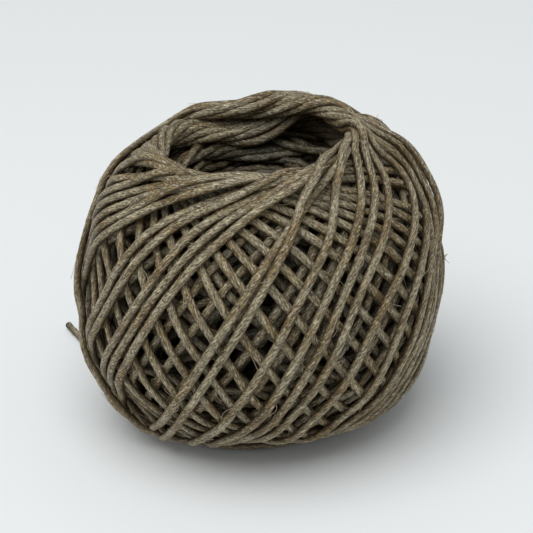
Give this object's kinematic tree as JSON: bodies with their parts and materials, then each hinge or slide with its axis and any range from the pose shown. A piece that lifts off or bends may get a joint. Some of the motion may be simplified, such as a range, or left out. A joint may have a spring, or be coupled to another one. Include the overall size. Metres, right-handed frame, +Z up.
{
  "type": "ball of waxed hemp twine",
  "caption": "Criss-cross wound ball of waxed hemp twine with an open core from end to end, standing on one mouth, with a short loose end on the floor.",
  "frame": {"origin": "on the axis of the core, at the level of the lower rim that the ball stands on", "axes": "+Z up along the core, -Y towards the viewer, +X to the viewer's right"},
  "size_m": [0.0661, 0.06, 0.05],
  "materials": {
    "hemp_twine": "plied natural hemp with a thin coat of wax"
  },
  "bodies": {
    "root": {"wound_ball": "hemp_twine", "loose_end": "hemp_twine"}
  },
  "joints": []
}
